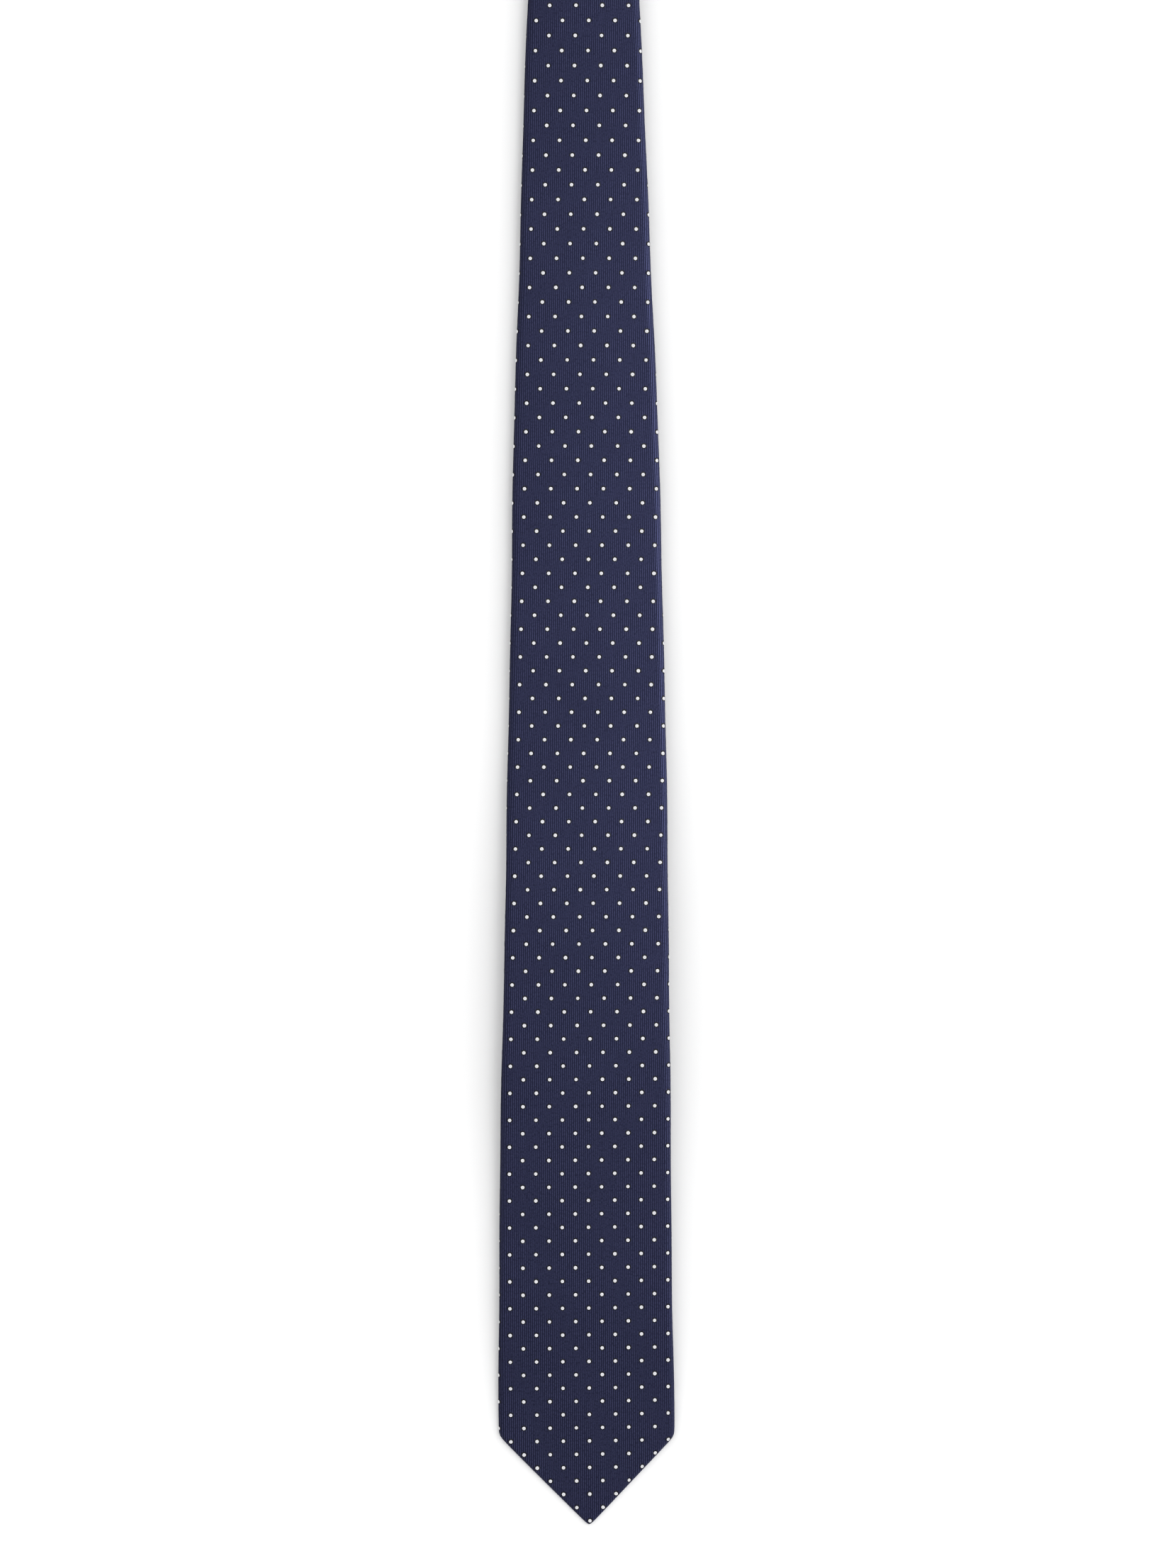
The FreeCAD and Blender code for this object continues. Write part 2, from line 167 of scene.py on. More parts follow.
def smooth_through(points, s):
    """A smooth curve through the points: cubic spans whose slopes come from the neighbours."""
    at, value = np.array(points).T * MM
    last = len(at) - 1
    near, far = np.maximum(np.arange(last + 1) - 1, 0), np.minimum(np.arange(last + 1) + 1, last)
    slope = (value[far] - value[near]) / (at[far] - at[near])
    i = np.clip(np.searchsorted(at, s, side="right") - 1, 0, last - 1)
    run = at[i + 1] - at[i]
    t = np.clip((s - at[i]) / run, 0, 1)
    bend = slope[i] * t * (1 - t) ** 2 + slope[i + 1] * t * t * (t - 1)
    return value[i] + (value[i + 1] - value[i]) * smoothstep(t) + run * bend


def half_width(s):
    """Half of the outline's width, or of the point's where that is less, with softly rounded corners."""
    body = smooth_through(OUTLINE, s)
    end = np.clip(np.minimum(s, TIE_LENGTH - s), 0, None)
    point = 2 * POINT_SLOPE * np.sqrt(end * (end + 2 * POINT_SOFTNESS))
    smaller = (body + point - np.hypot(body - point, CORNER_SOFTNESS)) / 2
    flutter = FLUTTER * (np.sin(s / 0.021) + 0.7 * np.sin(s / 0.0093 + 1.7))
    return smaller / 2 + flutter * smoothstep(end / EASE_RUN)


def thickness(s):
    """Without the rounding of the very ends."""
    end = np.minimum(s, TIE_LENGTH - s)
    return POINT_THICKNESS + (THICKNESS - POINT_THICKNESS) * smoothstep(end / POINT_RUN)


def nose(s):
    """1, and at the very ends down towards 0 along a quarter circle."""
    least = 0.02
    end = np.clip(np.minimum(s, TIE_LENGTH - s) / NOSE, least, 1)
    return np.sqrt(end * (2 - end))


def blade_height(s):
    return eased(BLADE_REST, np.minimum(s, BLADE_REST[-1][0] * MM))


def crown(s):
    """How much the face swells in the middle: the blade does, and the tail lies flat under it."""
    return CROWN * smoothstep(s / CROWN_RUN) * (1 - smoothstep((s - CROWN_END) / CROWN_FADE))


def blade_grain(s):
    """How far the ribs wander sideways: the silk is cut a little off its grain above the blade's end."""
    at_point, lean, lean_above, change, softness = 1.25 * MM, -0.006, 0.031, 160 * MM, 30 * MM
    seen_from_above = at_point + lean * s + lean_above * ramp(s - change, softness)
    return seen_from_above - smooth_through(SWAY, s)


def neck_grain(s):
    """The same for the neck and the tail."""
    swing, wavelength = 4 * MM, 0.23
    return swing * np.sin((s - BLADE_SEAM) / wavelength)


def place(x, s, h):
    """The points of the frame at the places (x, s, h)."""
    x, s, h = np.broadcast_arrays(*(np.asarray(v, float) for v in (x, s, h)))
    turn = np.pi * np.clip((s - FOLD) / FOLD_LENGTH, 0, 1)
    radius = FOLD_RADIUS - THICKNESS + h
    past = np.clip(s - TAIL_START, 0, None)
    y = np.minimum(s, FOLD) - past - MIDDLE + radius * np.sin(turn)
    dip = np.where(s < FOLD, blade_height(s) - FOLD_HEIGHT, 0)
    dip = dip + np.where(past > 0, thickness(s) - THICKNESS, 0)
    return np.stack([x + smooth_through(SWAY, s), y, FOLD_RADIUS + radius * np.cos(turn) + dip], axis=-1)


# ---- the silk's cross section ----
def roll_sizes(s):
    """Across and up radii of a rolled edge, half the flat between the edges, and the cloth in an edge."""
    oval, widest = 1.6, 0.6
    half, up = half_width(s), thickness(s) * nose(s) / 2
    across = np.minimum(oval * up, widest * half)
    return across, up, half - across, math.pi * np.sqrt((across ** 2 + up ** 2) / 2)


def window_half(s):
    """Half the width of the opening in the back that shows the tipping, or of the seam's slit."""
    opening = np.full_like(s, SEAM_GAP)
    for window, end in ((BLADE_WINDOW, s), (TAIL_WINDOW, TIE_LENGTH - s)):
        hem, side, apex = window["hem"], window["side"], window["apex"]
        closing = side * (apex - end) / (apex - side - hem)
        opening = np.maximum(opening, np.minimum(end - hem, closing))
    return opening


def cloth_reach(s):
    """How far the silk goes across from the middle of the face to its edge in the back."""
    _, _, flat, bend = roll_sizes(s)
    return flat + bend + flat - np.minimum(window_half(s), flat)


def wrap(u, s, lift):
    """The x and h of the silk at (u, s), lift above its outer surface."""
    across, up, flat, bend = roll_sizes(s)
    far = np.abs(u)
    turn = np.pi * np.clip((far - flat) / bend, 0, 1)
    back = np.clip(far - flat - bend, 0, None)
    x = np.minimum(far, flat) - back + (across + lift) * np.sin(turn)
    swell = crown(s) * (1 - (x / half_width(s)) ** 2) * np.cos(turn / 2) ** 2
    ease = EASE * np.sin(s / 0.031 + x / 0.019) * np.cos(turn / 2) ** 2 * smoothstep(s / EASE_RUN)
    h = thickness(s) / 2 + (up + lift) * np.cos(turn) + swell + np.where(s < FOLD, ease, 0)
    return np.sign(u) * x, h


def on_silk(u, s, lift=0.0):
    x, h = wrap(u, s, lift)
    return place(x, s, h)


# ---- mesh helpers ----
SHARP_ANGLE = math.radians(55)
THREAD_SIDES = 6


def add_object(name, data):
    thing = bpy.data.objects.new(name, data)
    bpy.context.scene.collection.objects.link(thing)
    return thing


def make_piece(name, points, faces, materials, uv=None, face_slots=None):
    """A smooth-shaded mesh object with sharp corners. uv has one pair for each point."""
    mesh = bpy.data.meshes.new(name)
    mesh.from_pydata([tuple(p) for p in np.asarray(points, float)], [], [tuple(f) for f in faces])
    for material in materials:
        mesh.materials.append(material)
    if face_slots is not None:
        mesh.polygons.foreach_set("material_index", face_slots)
    if uv is not None:
        layer = mesh.uv_layers.new(name="cloth")
        corners = np.empty(len(mesh.loops), int)
        mesh.loops.foreach_get("vertex_index", corners)
        layer.data.foreach_set("uv", np.asarray(uv, np.float32)[corners].ravel())
    mesh.polygons.foreach_set("use_smooth", [True] * len(mesh.polygons))
    mesh.validate()
    mesh.update()
    mesh.set_sharp_from_angle(angle=SHARP_ANGLE)
    return add_object(name, mesh)


def without_repeats(face):
    """The face with runs of the same point made one, or None if less than a triangle is left."""
    kept = [p for i, p in enumerate(face) if p != face[i - 1]]
    return kept if len(set(kept)) >= 3 else None


def merged_faces(faces):
    return [kept for kept in map(without_repeats, faces) if kept]


def thread(points, radius):
    """Points and faces of a round thread along the points, closed at both ends."""
    sides, any_direction = THREAD_SIDES, (0.31, 0.17, 0.93)
    points = np.asarray(points, float)
    ahead = np.gradient(points, axis=0)
    ahead /= np.linalg.norm(ahead, axis=1)[:, None]
    side = np.cross(ahead, any_direction)
    side /= np.linalg.norm(side, axis=1)[:, None]
    up = np.cross(side, ahead)
    turn = 2 * np.pi * np.arange(sides) / sides
    circle = side[:, None] * np.cos(turn)[:, None] + up[:, None] * np.sin(turn)[:, None]
    ring_points = (points[:, None] + radius * circle).reshape(-1, 3)
    faces = []
    for i in range(len(points) - 1):
        for k in range(sides):
            a, b = i * sides + k, i * sides + (k + 1) % sides
            faces.append((a, b, b + sides, a + sides))
    faces.append(tuple(reversed(range(sides))))
    faces.append(tuple(range((len(points) - 1) * sides, len(points) * sides)))
    return ring_points, faces


def joined(parts):
    """Several (points, faces) as one."""
    points, faces, count = [], [], 0
    for part_points, part_faces in parts:
        points.append(np.asarray(part_points))
        faces += [tuple(count + i for i in face) for face in part_faces]
        count += len(part_points)
    return np.concatenate(points), faces


def threads_piece(name, runs, radius, material):
    points, faces = joined([thread(run, radius) for run in runs])
    return make_piece(name, points, faces, [material])


def slab(across, along, top, bottom):
    """Points and faces of a thin closed sheet: top and bottom give points from grids of two numbers."""
    a, b = np.meshgrid(across, along)
    rows, columns = a.shape
    points = np.concatenate([top(a, b).reshape(-1, 3), bottom(a, b).reshape(-1, 3)])
    under = rows * columns
    faces = []
    for i in range(rows - 1):
        for j in range(columns - 1):
            p = i * columns + j
            face = (p, p + 1, p + columns + 1, p + columns)
            faces.append(face)
            faces.append(tuple(under + q for q in reversed(face)))
    rim = list(range(columns)) + [i * columns + columns - 1 for i in range(1, rows)]
    rim += [(rows - 1) * columns + j for j in range(columns - 2, -1, -1)]
    rim += [i * columns for i in range(rows - 2, 0, -1)]
    for p, q in zip(rim, rim[1:] + rim[:1]):
        faces.append((q, p, under + p, under + q))
    return points, faces, np.stack([a, b], axis=-1).reshape(-1, 2)


def slab_piece(name, across, along, top, bottom, material):
    points, faces, uv = slab(across, along, top, bottom)
    return make_piece(name, points, faces, [material], np.concatenate([uv, uv]))


def steps(start, end, spacing):
    """Evenly spaced numbers from start to end, about spacing apart."""
    return np.linspace(start, end, max(2, int(round(abs(end - start) / spacing)) + 1))


# ---- materials ----
class Nodes:
    """A material's node tree, with a short way to add nodes."""

    def __init__(self, name, roughness, specular, sheen=0.0, sheen_tint=(1, 1, 1), gloss_tint=(1, 1, 1)):
        self.material = bpy.data.materials.new(name)
        self.material.use_nodes = True
        self.tree = self.material.node_tree
        self.shader = self.tree.nodes["Principled BSDF"]
        settings = {
            "Roughness": roughness, "Specular IOR Level": specular, "Specular Tint": (*gloss_tint, 1),
            "Sheen Weight": sheen, "Sheen Roughness": 0.4, "Sheen Tint": (*sheen_tint, 1),
        }
        for name, value in settings.items():
            self.shader.inputs[name].default_value = value

    def put(self, socket, value):
        if isinstance(value, bpy.types.NodeSocket):
            self.tree.links.new(value, socket)
        else:
            socket.default_value = value

    def add(self, kind, values):
        """A new node's output. The values go by the names or numbers of the node's inputs."""
        node = self.tree.nodes.new("ShaderNode" + kind)
        for key, value in values.items():
            self.put(node.inputs[key], value)
        return node.outputs[0]

    def math(self, operation, *values):
        node = self.tree.nodes.new("ShaderNodeMath")
        node.operation = operation
        for socket, value in zip(node.inputs, values):
            self.put(socket, value)
        return node.outputs[0]

    def cloth_place(self):
        """The two numbers of the cloth's own map, in metres."""
        uv = self.tree.nodes.new("ShaderNodeUVMap")
        uv.uv_map = "cloth"
        split = self.tree.nodes.new("ShaderNodeSeparateXYZ")
        self.put(split.inputs[0], uv.outputs[0])
        return split.outputs[0], split.outputs[1]

    def combine(self, x, y):
        return self.add("CombineXYZ", {0: x, 1: y})

    def object_place(self):
        return self.tree.nodes.new("ShaderNodeTexCoord").outputs["Object"]

    def noise(self, vector, scale, detail=2.0):
        return self.add("TexNoise", {"Vector": vector, "Scale": scale, "Detail": detail})

    def wave(self, value, pitch):
        """Between 0 and 1, once for each pitch of the value."""
        turned = self.math("COSINE", self.math("MULTIPLY", value, 2 * math.pi / pitch))
        return self.math("MULTIPLY_ADD", turned, 0.5, 0.5)

    def between(self, share, low, high):
        """A number: low where the share is 0, high where it is 1."""
        return self.math("MULTIPLY_ADD", share, high - low, low)

    def drawn_out(self, across, along, per_metre_across, per_metre_along, detail=2.0):
        """Noise that is drawn out along the threads."""
        across = self.math("MULTIPLY", across, per_metre_across)
        along = self.math("MULTIPLY", along, per_metre_along)
        return self.noise(self.combine(across, along), 1.0, detail)

    def mix(self, share, low, high):
        """A colour: low where the share is 0, high where it is 1."""
        node = self.tree.nodes.new("ShaderNodeMix")
        node.data_type = "RGBA"
        self.put(node.inputs["Factor"], share)
        for socket, colour in zip((node.inputs[6], node.inputs[7]), (low, high)):
            self.put(socket, colour if isinstance(colour, bpy.types.NodeSocket) else (*colour, 1))
        return node.outputs[2]

    def brighten(self, colour, amount):
        return self.add("HueSaturation", {"Value": amount, "Color": colour})

    def bump(self, height, distance):
        normal = self.add("Bump", {"Height": height, "Distance": distance, "Strength": 1.0})
        self.put(self.shader.inputs["Normal"], normal)

    def colour(self, colour):
        self.put(self.shader.inputs["Base Color"], colour)


def ribbed_silk():
    """Navy repp: lengthwise ribs whose crests keep the navy and whose troughs are painted near-black as
    shade, fine cross threads, and flecks where the threads lie high and the crests are painted lighter.
    """
    n = Nodes(
        "ribbed_navy_silk", roughness=0.5, specular=0.3, sheen=0.02, sheen_tint=(0.6, 0.65, 1.0),
        gloss_tint=(0.40, 0.45, 1.0),
    )
    across, along = n.cloth_place()
    cloth = n.combine(across, along)
    wandering = n.math("MULTIPLY_ADD", n.noise(cloth, 90.0), 0.24 * MM, across)
    crest = n.math("POWER", n.wave(wandering, RIB), 1.6)
    picks = n.wave(along, PICK)
    flecks = n.drawn_out(across, along, 2200.0, 1300.0, detail=1.0)
    clouds = n.noise(cloth, 26.0, 3.0)
    # painted light and shade of the ribs, following their height: full navy on the crests, near-black
    # painted shade in the troughs
    rib_light_and_shade = n.math("MULTIPLY", crest, n.between(flecks, -0.50, 2.50))
    shown = n.math("MULTIPLY_ADD", picks, -0.12, rib_light_and_shade)
    # the trough colour is painted shade between the ribs; the crest colour is the silk's navy
    painted_trough_shade, on_crest = (0.0020, 0.0021, 0.0074), (0.0315, 0.0335, 0.0724)
    n.colour(n.brighten(n.mix(shown, painted_trough_shade, on_crest), n.between(clouds, 0.82, 1.18)))
    n.put(n.shader.inputs["Roughness"], n.between(crest, 0.96, 0.51))
    relief = n.math("MULTIPLY_ADD", picks, 0.35, n.math("MULTIPLY", flecks, 0.6))
    n.bump(relief, 0.04 * MM)
    return n.material


def dot_thread():
    """White thread of the woven dots: fine strands, and grey painted shade in the small hollow in the
    middle.
    """
    n = Nodes("white_dot_thread", roughness=0.65, specular=0.2, sheen=0.2)
    right, up = n.cloth_place()
    strands = n.wave(right, 0.17 * MM)
    away = n.math("SQRT", n.math("ADD", n.math("POWER", right, 2.0), n.math("POWER", up, 2.0)))
    hollow_radius, softness = 0.26 * MM, 0.3
    outside_painted_hollow_shade = n.math("SMOOTH_MIN", n.math("DIVIDE", away, hollow_radius), 1.0, softness)
    white = n.mix(strands, (0.65, 0.65, 0.68), (0.88, 0.88, 0.90))
    # the dot's middle is painted grey as the shade of its hollow; the white strands lie outside it
    n.colour(n.mix(outside_painted_hollow_shade, (0.43, 0.43, 0.48), white))
    n.bump(strands, 0.03 * MM)
    return n.material


def painted_shade_ring():
    """The ring round a dot, painted near-black as the shade where the silk's threads dive."""
    n = Nodes("painted_shade_dot_ring", roughness=0.7, specular=0.1)
    across, along = n.cloth_place()
    grain = n.noise(n.combine(across, along), 4000.0)
    # painted near-black shade round the dot, varied a little by random grain
    n.colour(n.mix(grain, (0.003, 0.003, 0.006), (0.010, 0.010, 0.020)))
    return n.material


def satin_lining():
    """Tipping: smooth satin with fine diagonal twill lines."""
    n = Nodes("navy_satin_lining", roughness=0.34, specular=0.4, sheen=0.1, sheen_tint=(0.7, 0.75, 1.0))
    across, along = n.cloth_place()
    twill = n.wave(n.math("ADD", across, along), 0.42 * MM)
    streaks = n.drawn_out(across, along, 900.0, 60.0)
    base = n.mix(twill, (0.010, 0.012, 0.034), (0.020, 0.024, 0.062))
    n.colour(n.brighten(base, n.between(streaks, 0.75, 1.25)))
    n.bump(twill, 0.02 * MM)
    return n.material


def wool_felt():
    """Interlining: undyed brushed wool."""
    n = Nodes("undyed_wool_interlining", roughness=0.95, specular=0.1, sheen=0.3)
    spot = n.object_place()
    fibres = n.noise(spot, 2600.0, 6.0)
    clumps = n.noise(spot, 300.0, 3.0)
    base = n.mix(fibres, (0.40, 0.36, 0.29), (0.72, 0.68, 0.59))
    n.colour(n.brighten(base, n.between(clumps, 0.85, 1.15)))
    n.bump(fibres, 0.15 * MM)
    return n.material


def sewing_thread(name, low, high):
    """Twisted thread between two colours."""
    n = Nodes(name, roughness=0.55, specular=0.3, sheen=0.2)
    strands = n.noise(n.object_place(), 3500.0, 2.0)
    n.colour(n.mix(strands, low, high))
    n.bump(strands, 0.03 * MM)
    return n.material


def woven_label():
    """A blank label: dark ground with a fine pale border line woven in."""
    n = Nodes("blank_woven_label", roughness=0.5, specular=0.3, sheen=0.1)
    across, along = n.cloth_place()
    weave = n.math("MULTIPLY", n.wave(across, 0.24 * MM), n.wave(along, 0.36 * MM))
    half_length = (MAKER_LABEL["end"] - MAKER_LABEL["start"]) / 2
    middle = (MAKER_LABEL["end"] + MAKER_LABEL["start"]) / 2
    border_from_side, border_from_end, half_line = 2.2 * MM, 1.6 * MM, 0.22 * MM
    from_middle = n.math("ABSOLUTE", n.math("SUBTRACT", along, middle))
    past_side = n.math("SUBTRACT", MAKER_LABEL["half"] - border_from_side, n.math("ABSOLUTE", across))
    past_end = n.math("SUBTRACT", half_length - border_from_end, from_middle)
    inside = n.math("MINIMUM", past_side, past_end)
    line = n.math("LESS_THAN", n.math("ABSOLUTE", inside), half_line)
    ground = n.mix(weave, (0.006, 0.007, 0.016), (0.022, 0.024, 0.050))
    n.colour(n.mix(line, ground, (0.42, 0.40, 0.34)))
    n.bump(weave, 0.04 * MM)
    return n.material


def satin_ribbon():
    """The care label: blank pale satin with a woven edge on each side."""
    n = Nodes("blank_satin_ribbon", roughness=0.38, specular=0.4, sheen=0.1)
    across, along = n.cloth_place()
    streaks = n.drawn_out(across, along, 2200.0, 200.0)
    edge_width = 0.7 * MM
    edge = n.math("GREATER_THAN", n.math("ABSOLUTE", across), CARE_LABEL["half"] - edge_width)
    base = n.mix(streaks, (0.50, 0.49, 0.46), (0.64, 0.63, 0.60))
    n.colour(n.mix(edge, base, (0.45, 0.44, 0.42)))
    n.bump(streaks, 0.02 * MM)
    return n.material


def paper_floor():
    """Near-white and matt."""
    n = Nodes("pale_floor", roughness=0.9, specular=0.1)
    speck = n.noise(n.object_place(), 40.0)
    n.colour(n.mix(speck, (0.97, 0.97, 0.97), (0.98, 0.98, 0.98)))
    return n.material


SILK_CLOTH = ribbed_silk()
DOT_WHITE = dot_thread()
DOT_RING_SHADE = painted_shade_ring()
LINING = satin_lining()
FELT = wool_felt()
NAVY_THREAD = sewing_thread("navy_silk_thread", (0.010, 0.011, 0.030), (0.040, 0.044, 0.095))
LABEL_THREAD = sewing_thread("dark_label_thread", (0.006, 0.006, 0.012), (0.030, 0.030, 0.045))
LABEL = woven_label()
RIBBON = satin_ribbon()


# ---- silk shells ----
ROW_STEP = {
    "plain": 7.5 * MM, "point": 0.5 * MM, "tip": 0.25 * MM, "turn_up": 0.8 * MM, "fold": 0.55 * MM,
}
TIP_RUN, TURN_UP_RUN, FOLD_RUN = 1.5 * MM, 10 * MM, 8 * MM  # how far the close rows reach
SLANT_REACH = 60 * MM  # rows turn towards a slanting seam over this length


def row_step(s):
    if FOLD - FOLD_RUN < s < TAIL_START + FOLD_RUN:
        return ROW_STEP["fold"]
    if abs(s - TURN_UP) < TURN_UP_RUN:
        return ROW_STEP["turn_up"]
    near_end = min(s, TIE_LENGTH - s)
    if near_end < POINT_LENGTH:
        return ROW_STEP["point"] if near_end > TIP_RUN else ROW_STEP["tip"]
    return ROW_STEP["plain"]


def row_places(start, end):
    """Where the silk's rows lie: closer at the points, in the turn-up and round the fold."""
    least = 0.1 * MM
    rows = [start]
    while rows[-1] < end:
        rows.append(rows[-1] + row_step(rows[-1]))
    rows[-1] = end
    if rows[-1] - rows[-2] < least:
        del rows[-2]
    return np.array(rows)


def silk_places(rows, columns, grain, slant_start, slant_end):
    """(u, s) of every row and column, and -1 or 1 where a column lies past the cloth's left or right edge.

    Columns follow the grain. Towards a slanting seam the rows turn to 45 degrees.
    """
    rounds = 5
    turned = slant_start * np.clip(1 - (rows - rows[0]) / SLANT_REACH, 0, 1)
    turned = turned + slant_end * np.clip(1 - (rows[-1] - rows) / SLANT_REACH, 0, 1)
    s = np.repeat(rows[:, None], len(columns), axis=1)
    for _ in range(rounds):
        limit = cloth_reach(s)
        free = columns + grain(s)
        u = np.clip(free, -limit, limit)
        s = rows[:, None] + turned[:, None] * wrap(u, s, 0)[0]
    return u, s, np.sign(free) * (np.abs(free) >= limit)


def held_at_edges(index, beyond):
    """Point numbers, where all the columns past an edge of the cloth share that edge's point."""
    index = np.where(beyond < 0, index[:, :1], index)
    return np.where(beyond > 0, index[:, -1:], index)


def grid_faces(index):
    """Quads between neighbouring points of a grid of point numbers."""
    a, b = index[:-1, :-1].ravel(), index[:-1, 1:].ravel()
    c, d = index[1:, 1:].ravel(), index[1:, :-1].ravel()
    return list(zip(a.tolist(), b.tolist(), c.tolist(), d.tolist()))


def shell_faces(index, under):
    """Faces over the outside and the inside, and around the four edges between them."""
    faces = grid_faces(index) + [tuple(reversed(face)) for face in grid_faces(under)]
    for i in range(len(index) - 1):
        faces.append((index[i + 1, 0], index[i, 0], under[i, 0], under[i + 1, 0]))
        faces.append((index[i, -1], index[i + 1, -1], under[i + 1, -1], under[i, -1]))
    for j in range(under.shape[1] - 1):
        span = slice(j * INNER_STEP, (j + 1) * INNER_STEP + 1)
        faces.append(tuple(index[0, span][::-1]) + (under[0, j], under[0, j + 1]))
        faces.append(tuple(index[-1, span]) + (under[-1, j + 1], under[-1, j]))
    return merged_faces(faces)


def rib_crest(across):
    """1 on a rib's crest and 0 between two ribs."""
    return 0.5 + 0.5 * np.cos(2 * np.pi * across / RIB)


def silk_piece(name, start, end, grain, slant_start, slant_end):
    """The wrapped silk from start to end: ribbed outside, plain inside, closed all round."""
    rows = row_places(start, end)
    widest = cloth_reach(rows).max() + np.abs(grain(rows)).max()
    count = INNER_STEP * math.ceil(widest / (RIB / COLUMNS_PER_RIB) / INNER_STEP)
    columns = np.arange(-count, count + 1) * RIB / COLUMNS_PER_RIB
    u, s, beyond = silk_places(rows, columns, grain, slant_start, slant_end)
    across = u - grain(s)
    fading = smoothstep((cloth_reach(s) - np.abs(u)) / RIB)
    outer = on_silk(u, s, -RIB_DEPTH * (1 - rib_crest(across) * fading))
    inside = (slice(None), slice(None, None, INNER_STEP))
    inner = on_silk(u[inside], s[inside], -SILK)
    points = np.concatenate([outer.reshape(-1, 3), inner.reshape(-1, 3)])

    index = held_at_edges(np.arange(u.size).reshape(u.shape), beyond)
    under = held_at_edges(u.size + np.arange(u[inside].size).reshape(u[inside].shape), beyond[inside])
    uv = np.stack([across, s], axis=-1)
    uv = np.concatenate([uv.reshape(-1, 2), uv[inside].reshape(-1, 2)])
    piece = make_piece(name, points, shell_faces(index, under), [SILK_CLOTH], uv)
    cloth_reach(rows)
    return piece


# ---- pin dots ----
def reach_at(s):
    return float(cloth_reach(np.array([s]))[0])


def next_dot_row(row_at):
    past = min(row_at, ROW_SPREAD["to"]) - ROW_SPREAD["from"]
    return row_at + (DOT["row"] + ROW_SPREAD["slope"] * float(ramp(past, ROW_SPREAD["soft"])))


def dot_places(start, end, grain, slant_start, slant_end):
    """(u, s) of the dots' middles: staggered rows that spread a little towards the neck."""
    most, past_edge, past_end = 12, 5 * MM, 20 * MM
    found = []
    row_at, row = FIRST_ROW, 0
    while row_at < end + past_end:
        drift = float(grain(np.float64(row_at)))
        reach = reach_at(min(row_at, TIE_LENGTH))
        tilt = ROW_TILT * (1 - smoothstep(row_at / ROW_TILT_RUN))
        for k in range(-most, most + 1):
            u = (k + row % 2 / 2) * DOT["pitch"] + drift
            s = row_at + tilt * u
            if abs(u) > reach + past_edge:
                continue
            x = float(wrap(np.array([u]), np.array([s]), 0)[0][0])
            low = start + slant_start * (x + DOT_MARGIN["end"])
            high = end + slant_end * (x - DOT_MARGIN["end"])
            if low <= s < high and reach_at(s) - abs(u) > DOT_MARGIN["edge"]:
                found.append((u, s))
        row_at = next_dot_row(row_at)
        row += 1
    return found


def square_steps(surface, u, s):
    """How far to go in u and s for a step along each of two square directions on the surface."""
    step = 0.05 * MM
    here, over, ahead = surface(np.array([u, u + step, u]), np.array([s, s, s + step]))
    over, ahead = (over - here) / step, (ahead - here) / step
    stretch = np.linalg.norm(over)
    shear = ahead @ over / stretch
    rest = math.sqrt(ahead @ ahead - shear ** 2)
    return 1 / stretch, -shear / (rest * stretch), 1 / rest


def dot_points(size, spin):
    """How far right, up and above the ribs the points of a dot lie."""
    turn = 2 * np.pi * np.arange(DOT["sides"]) / DOT["sides"] + spin
    right, up, lift = [0.0], [0.0], [DOT["middle"]]
    for radius, height, in_ring in DOT_RINGS:
        right += list(size * radius * np.cos(turn) + RING["right"] * in_ring)
        up += list(size * radius * np.sin(turn) + RING["up"] * in_ring)
        lift += [height] * DOT["sides"]
    return np.array(right), np.array(up), np.array(lift)


def dot_faces(first):
    """A dot's faces, if its points start at number first, and 0 for each white face or 1 for each face of
    the painted shade ring.
    """
    sides = DOT["sides"]
    faces, slots = [], []
    for k in range(sides):
        after = (k + 1) % sides
        faces.append((first, first + 1 + k, first + 1 + after))
        slots.append(0)
        for band in range(len(DOT_RINGS) - 1):
            a = first + 1 + band * sides
            faces.append((a + k, a + sides + k, a + sides + after, a + after))
            slots.append(0 if band < WHITE_BANDS else 1)
    return faces, slots


def dots_piece(name, middles, surface=on_silk):
    """Raised dots of white thread, each with a ring of painted shade pressed into the silk around it."""
    rng = np.random.default_rng(len(middles))
    unevenness = 0.025
    points, faces, slots, uv = [], [], [], []
    for number, (u, s) in enumerate(middles):
        size = 1 + unevenness * rng.standard_normal()
        right, up, lift = dot_points(size, rng.uniform(0, 1))
        u_for_right, u_for_up, s_for_up = square_steps(surface, u, s)
        points.append(surface(u + u_for_right * right + u_for_up * up, s + s_for_up * up, lift))
        uv.append(np.stack([right, up], axis=1))
        new_faces, new_slots = dot_faces(number * len(right))
        faces += new_faces
        slots += new_slots
    points, uv = np.concatenate(points), np.concatenate(uv)
    return make_piece(name, points, faces, [DOT_WHITE, DOT_RING_SHADE], uv, slots)


# ---- inside the tie ----
def from_end(side, distance):
    """The s of a place this far from the blade's or the tail's point."""
    return distance if side == "blade" else TIE_LENGTH - distance


def lie(s):
    """How much higher the thin end of a point lies than its full thickness would."""
    return (thickness(s) - thickness(s) * nose(s)) / 2


